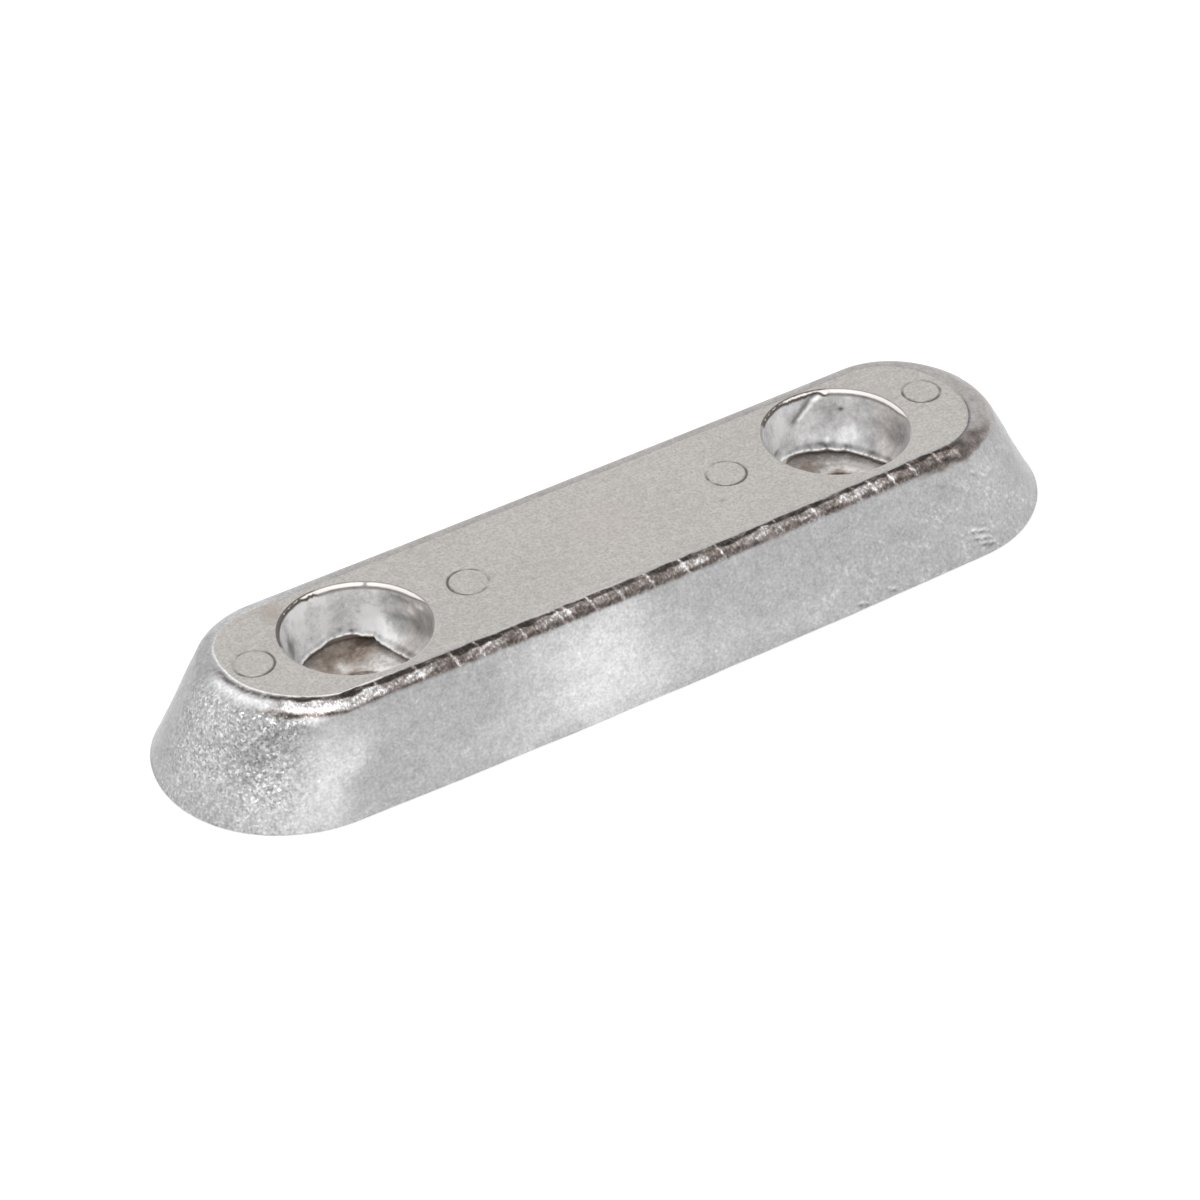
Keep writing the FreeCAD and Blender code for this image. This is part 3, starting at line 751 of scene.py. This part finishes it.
class Finish:
    """A material, with short words for the nodes that feed its shader. Places are in millimetres."""

    def __init__(self, name, **constants):
        self.material = bpy.data.materials.new(name)
        self.material.use_nodes = True
        self.tree = self.material.node_tree
        self.shader = self.tree.nodes["Principled BSDF"]
        self.set(**constants)

    def feed(self, socket, value):
        if isinstance(value, bpy.types.NodeSocket):
            self.tree.links.new(value, socket)
        elif socket.type == "RGBA":
            socket.default_value = (*value, 1) if hasattr(value, "__len__") else (value, value, value, 1)
        else:
            socket.default_value = value

    def set(self, **values):
        for name, value in values.items():
            self.feed(self.shader.inputs[name.replace("_", " ")], value)

    def node(self, kind, inputs, **settings):
        made = self.tree.nodes.new("ShaderNode" + kind)
        for name, value in settings.items():
            setattr(made, name, value)
        for name, value in inputs.items():
            self.feed(made.inputs[name], value)
        return made

    def place(self, stretch=(1, 1, 1), turn=0.0):
        """Object coordinates in millimetres, divided by the stretch."""
        source = self.node("TexCoord", {}).outputs["Object"]
        scale = [1 / MM / s for s in stretch]
        return self.node("Mapping", {"Vector": source, "Scale": scale, "Rotation": (0, 0, turn)}).outputs[0]

    def skin(self, stretch=(1, 1)):
        """The way round the bar and down it in millimetres, divided by the stretch."""
        source = self.node("UVMap", {}, uv_map="skin").outputs[0]
        scale = (GIRTH / stretch[0], GIRTH / stretch[1], 1)
        inputs = {"Vector": source, "Location": (0, -MAP_START / stretch[1], 0), "Scale": scale}
        return self.node("Mapping", inputs).outputs[0]

    def cast(self):
        """Brightness, shine or brownness, crystals and warmth as the mesh gives them."""
        given = self.node("Attribute", {}, attribute_name="cast")
        parts = self.node("SeparateColor", {"Color": given.outputs["Color"]})
        return parts.outputs[0], parts.outputs[1], parts.outputs[2], given.outputs["Alpha"]

    def blot(self, where, middle, reach):
        """1 at the middle of a soft spot and 0 outside its reach. Places are in millimetres."""
        shift = [-place / size for place, size in zip(middle, reach)]
        inputs = {"Vector": where, "Location": shift, "Scale": [1 / size for size in reach]}
        away = self.node("Mapping", inputs).outputs[0]
        off = self.node("VectorMath", {0: away}, operation="LENGTH").outputs["Value"]
        return self.node("MapRange", {0: off, 1: 1, 2: 0}, interpolation_type="SMOOTHSTEP").outputs[0]

    def axis(self, vector, name):
        return self.node("SeparateXYZ", {"Vector": vector}).outputs[name]

    def noise(self, where, size, detail=2.0, rough=0.5, warp=0.0):
        inputs = {"Vector": where, "Scale": 1 / size, "Detail": detail, "Roughness": rough, "Distortion": warp}
        return self.node("TexNoise", inputs).outputs[0]

    def warped(self, where, size, reach):
        """Places moved about by soft noise, up to half the reach each way."""
        drift = self.node("TexNoise", {"Vector": where, "Scale": 1 / size, "Detail": 1.0}).outputs["Color"]
        inputs = {0: drift, 1: (reach, reach, reach), 2: where}
        return self.node("VectorMath", inputs, operation="MULTIPLY_ADD").outputs[0]

    def sum(self, a, b, operation="ADD", clamp=False):
        made = self.node("Math", {0: a, 1: b}, operation=operation, use_clamp=clamp)
        return made.outputs[0]

    def product(self, a, b):
        return self.sum(a, b, "MULTIPLY")

    def clamped(self, value):
        """A value kept between 0 and 1."""
        return self.sum(value, 0.0, clamp=True)

    def ramp(self, value, *stops):
        made = self.node("ValToRGB", {"Fac": value})
        points = made.color_ramp.elements
        while len(points) < len(stops):
            points.new(0.5)
        for point, (position, colour) in zip(points, stops):
            point.position = position
            point.color = (*colour, 1) if hasattr(colour, "__len__") else (colour, colour, colour, 1)
        return made.outputs[0]

    def span(self, value, low, high, out_low=0.0, out_high=1.0):
        inputs = {0: value, 1: low, 2: high, 3: out_low, 4: out_high}
        return self.node("MapRange", inputs, clamp=True).outputs[0]

    def blend(self, share, a, b, kind="MIX"):
        inputs = {0: share, 6: a, 7: b}
        return self.node("Mix", inputs, data_type="RGBA", blend_type=kind).outputs[2]

    def bump(self, height, depth, under=None):
        inputs = {"Height": height, "Distance": depth * MM, "Strength": 1.0}
        if under is not None:
            inputs["Normal"] = under
        return self.node("Bump", inputs).outputs[0]


def flat_finish():
    """Satin face that took the mould's own skin."""
    f = Finish("cast_flat", Metallic=0.9)
    where = f.place()
    fine = f.noise(where, 0.7, 2, 0.6)
    soft = f.noise(where, 2.6, 3, 0.6)
    broad = f.noise(where, 24, 2, 0.5)
    streak = f.noise(f.place((16, 1.1, 4), 0.08), 1, 3, 0.6)
    tone = f.blend(f.span(broad, 0.35, 0.65), (0.495, 0.471, 0.448), (0.450, 0.427, 0.405))
    tone = f.blend(f.span(soft, 0.3, 0.7, 0, 0.9), tone, (0.59, 0.566, 0.541))
    tone = f.blend(f.span(streak, 0.55, 0.70, 0, 0.4), tone, (0.62, 0.60, 0.58))
    tone = f.blend(f.span(fine, 0.40, 0.72, 0, 0.7), tone, (0.33, 0.31, 0.29))
    tone = f.blend(f.product(f.blot(where, (-87.5, 17.5, 28), (5, 8, 9)), 0.55), tone, (0.38, 0.32, 0.28))
    tone = f.blend(f.product(f.blot(where, (0, 3, 28), (13, 9, 9)), 0.25), tone, (0.56, 0.48, 0.46))
    tone = f.blend(f.product(f.blot(where, (30.2, -7.5, 28), (1.5, 1.2, 3)), 0.6), tone, (0.25, 0.21, 0.18))
    # Painted shade in the ejector marks' sunk rings.
    ring = f.cast()[2]
    tone = f.blend(f.product(ring, 0.85), tone, (0.11, 0.10, 0.09))
    bump = f.bump(f.sum(f.noise(where, 1.1, 3, 0.6), f.product(fine, 0.5)), 0.05)
    f.set(Base_Color=tone, Roughness=f.span(soft, 0.3, 0.7, 0.40, 0.50), Normal=bump)
    return f.material


def skin_finish():
    """The walls, the crumpled shiny edge and the crystals of the left end."""
    f = Finish("cast_walls", Metallic=0.9)
    where = f.place()
    bright, shine, crystals, warmth = f.cast()
    fine = f.noise(where, 0.75, 2, 0.6)
    soft = f.noise(where, 2.2, 3, 0.6)
    bright = f.product(bright, f.span(fine, 0.3, 0.7, 1.18, 0.84))
    bright = f.product(bright, f.span(soft, 0.3, 0.7, 0.90, 1.11))
    flecks = f.span(f.noise(where, 1.1, 2, 0.7), 0.66, 0.74, 0, 0.12)
    bright = f.sum(bright, flecks)
    crystal = 0.6
    cell = f.node("TexVoronoi", {"Vector": f.warped(where, crystal, 0.25), "Scale": 1 / crystal}).outputs["Color"]
    # Each crystal cell is painted lighter or darker, as a painted glint of its facet, besides the tilt of its normal
    # below.
    facets = f.product(f.ramp(f.axis(cell, "X"), (0.0, 0.60), (0.35, 0.88), (0.75, 1.10), (1.0, 1.5)),
                       f.span(f.noise(where, 1.2, 2, 0.6), 0.3, 0.7, 0.86, 1.14))
    bright = f.product(bright, f.span(crystals, 0, 1, 1.0, facets))
    # The shiny edge's crinkles are painted as bright glints and dark shade.
    wrinkles = f.noise(f.skin((0.7, 1.0)), 1, 2, 0.6, 0.4)
    creases = f.ramp(wrinkles, (0.33, 0.55), (0.5, 0.90), (0.59, 1.25), (0.70, 1.9))
    bright = f.product(bright, f.span(shine, 0.3, 1, 1.0, creases))
    brown = f.product(shine, f.span(bright, 0.22, 0.55, 1, 0.1))
    tint = f.blend(f.sum(brown, warmth, "MAXIMUM"), (1.0, 0.998, 1.004), (1.0, 0.85, 0.78))
    tone = f.blend(1.0, tint, bright, "MULTIPLY")
    rough = f.span(shine, 0.1, 0.8, 0.36, 0.24)
    normal = f.node("NewGeometry", {}).outputs["Normal"]
    tilt = f.node("VectorMath", {0: cell, 1: (0.5, 0.5, 0.5)}, operation="SUBTRACT").outputs[0]
    tilt = f.node("VectorMath", {0: tilt, "Scale": f.product(crystals, 0.4)}, operation="SCALE").outputs[0]
    tilted = f.node("VectorMath", {0: normal, 1: tilt}).outputs[0]
    normal = f.node("VectorMath", {0: tilted}, operation="NORMALIZE").outputs[0]
    bump = f.bump(f.sum(f.noise(where, 0.9, 3, 0.6), f.product(soft, 0.6)), 0.05, normal)
    f.set(Base_Color=tone, Roughness=rough, Normal=bump)
    return f.material


def pocket_finish():
    """Pocket walls of bright, slightly blue zinc, painted brighter still as light against the shade deep in the
    pocket.
    """
    f = Finish("bright_pocket", Metallic=0.2)
    where = f.place()
    bright, brown, _, _ = f.cast()
    blotch = f.noise(where, 1.6, 3, 0.6, 0.5)
    fine = f.noise(where, 0.7, 2, 0.6)
    # Painted light: the walls' brightness is raised against the shade deep in the pocket.
    bright = f.product(bright, f.span(blotch, 0.3, 0.7, 1.72, 2.12))
    bright = f.product(bright, f.span(fine, 0.3, 0.7, 0.90, 1.10))
    tint = f.blend(brown, (0.985, 0.99, 1.0), (1.0, 0.84, 0.74))
    tone = f.blend(1.0, tint, f.clamped(bright), "MULTIPLY")
    bump = f.bump(f.noise(f.place((1, 1, 1.6)), 2.2, 0), 0.10)
    f.set(Base_Color=tone, Roughness=f.span(blotch, 0.3, 0.7, 0.38, 0.50), Normal=bump)
    return f.material


def back_finish():
    """Plain dull face that lies against the hull."""
    f = Finish("cast_back", Metallic=1.0)
    where = f.place()
    broad = f.noise(where, 7, 4, 0.6)
    tone = f.blend(f.span(broad, 0.35, 0.65), (0.56, 0.55, 0.54), (0.45, 0.44, 0.43))
    bump = f.bump(f.noise(where, 1.2, 5, 0.7), 0.12)
    f.set(Base_Color=tone, Roughness=0.5, Normal=bump)
    return f.material


def plate_finish():
    """Steel seat, stained brown and lighter in places, painted brighter overall as light against the shade deep in
    the pocket.
    """
    f = Finish("stained_steel", Metallic=0.45)
    where = f.place()
    bright, brown, _, _ = f.cast()
    stain = f.noise(where, 1.6, 3, 0.6)
    fine = f.noise(where, 0.6, 2, 0.6)
    # Painted light: the plate's brightness is raised against the shade deep in the pocket.
    bright = f.product(bright, f.product(f.span(stain, 0.3, 0.7, 1.05, 1.65), f.span(fine, 0.3, 0.7, 0.84, 1.14)))
    tint = f.blend(brown, (1.0, 0.97, 0.94), (1.0, 0.80, 0.66))
    tone = f.blend(1.0, tint, f.clamped(bright), "MULTIPLY")
    f.set(Base_Color=tone, Roughness=f.span(stain, 0.3, 0.7, 0.32, 0.46), Normal=f.bump(fine, 0.04))
    return f.material


# ---- camera, light and floor

CAMERA_TURN, CAMERA_HEIGHT, CAMERA_ROLL = -31.103, 36.972, -2.408
CAMERA_DISTANCE = 1170.6
CAMERA_AIM = (1.537, 7.392)
FOCAL_PIXELS = 4545.1
PICTURE = 1200
FLOOR_HALF, FLOOR_GAP = 3, 0.0002   # metres: half the floor's side, and how far below the bar it lies


def link(thing):
    """Puts an object into the scene."""
    bpy.context.scene.collection.objects.link(thing)
    return thing


def camera():
    """The view that the photograph was taken from."""
    turn, height, roll = (math.radians(a) for a in (CAMERA_TURN, CAMERA_HEIGHT, CAMERA_ROLL))
    forward = Vector((-math.cos(height) * math.sin(turn), math.cos(height) * math.cos(turn), -math.sin(height)))
    right = forward.cross(UP).normalized()
    upward = right.cross(forward)
    level = right * math.cos(roll) + upward * math.sin(roll)
    upright = upward * math.cos(roll) - right * math.sin(roll)
    data = bpy.data.cameras.new("camera")
    data.lens = data.sensor_width * FOCAL_PIXELS / PICTURE
    made = link(bpy.data.objects.new("camera", data))
    place = Vector((*CAMERA_AIM, 0)) - forward * CAMERA_DISTANCE
    made.matrix_world = Matrix.Translation(place * MM) @ Matrix((level, upright, -forward)).transposed().to_4x4()
    bpy.context.scene.camera = made


def soft_box(name, direction, distance, size, radiance):
    """A square lamp that faces the bar. Radiance 1 is the level at which white renders white."""
    data = bpy.data.lights.new(name, "AREA")
    data.shape = "SQUARE"
    data.size = size
    data.energy = radiance * math.pi * size * size
    lamp = link(bpy.data.objects.new(name, data))
    place = Vector(direction).normalized() * distance
    lamp.matrix_world = Matrix.Translation(place) @ place.to_track_quat("Z", "Y").to_matrix().to_4x4()


def studio():
    """White surroundings that light the bar softly, and four soft boxes."""
    world = bpy.data.worlds.new("studio")
    bpy.context.scene.world = world
    world.use_nodes = True
    tree = world.node_tree
    background = tree.nodes["Background"]
    output = tree.nodes["World Output"]
    white = tree.nodes.new("ShaderNodeBackground")
    white.inputs["Color"].default_value = (1, 1, 1, 1)
    background.inputs["Color"].default_value = (0.70, 0.70, 0.70, 1)
    mix = tree.nodes.new("ShaderNodeMixShader")
    tree.links.new(seen_as_white(tree), mix.inputs[0])
    tree.links.new(background.outputs[0], mix.inputs[1])
    tree.links.new(white.outputs[0], mix.inputs[2])
    tree.links.new(mix.outputs[0], output.inputs["Surface"])
    soft_box("overhead", (-0.35, -0.05, 0.95), 1.2, 0.7, 0.40)
    soft_box("back_right", (0.45, 0.75, 0.55), 1.4, 0.9, 0.15)
    soft_box("front_left", (-0.75, -0.6, 0.30), 1.4, 0.8, 0.30)
    soft_box("front", (-0.33, -0.55, 0.77), 1.4, 0.8, 2.6)


def seen_as_white(tree):
    """1 for the camera, and for what glossy and clear surfaces show of the white surroundings."""
    path = tree.nodes.new("ShaderNodeLightPath")
    seen = path.outputs["Is Camera Ray"]
    for kind in ("Is Glossy Ray", "Is Transmission Ray"):
        either = tree.nodes.new("ShaderNodeMath")
        either.operation = "MAXIMUM"
        tree.links.new(seen, either.inputs[0])
        tree.links.new(path.outputs[kind], either.inputs[1])
        seen = either.outputs[0]
    return seen


def floor():
    """Pale plain floor."""
    bm = bmesh.new()
    bmesh.ops.create_grid(bm, x_segments=1, y_segments=1, size=FLOOR_HALF)
    mesh = bpy.data.meshes.new("floor")
    bm.to_mesh(mesh)
    bm.free()
    made = link(bpy.data.objects.new("floor", mesh))
    made.location.z = -FLOOR_GAP
    f = Finish("pale_floor", Roughness=0.9, Base_Color=0.86)
    f.set(Emission_Color=1.0, Emission_Strength=f.product(seen_as_white(f.tree), 0.35))
    mesh.materials.append(f.material)


casting = zinc_casting()
for finish in (skin_finish(), flat_finish(), pocket_finish(), back_finish()):
    casting.data.materials.append(finish)
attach(casting, "root")
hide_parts("anode_body")
steel = plate_finish()
for side, look in PLATES.items():
    plate = seat_plate("seat_plate_" + side, *look)
    plate.data.materials.append(steel)
    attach(plate, "root")
    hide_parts("fixing_plate_" + side)
camera()
studio()
floor()

bpy.context.scene.view_settings.view_transform = "Standard"
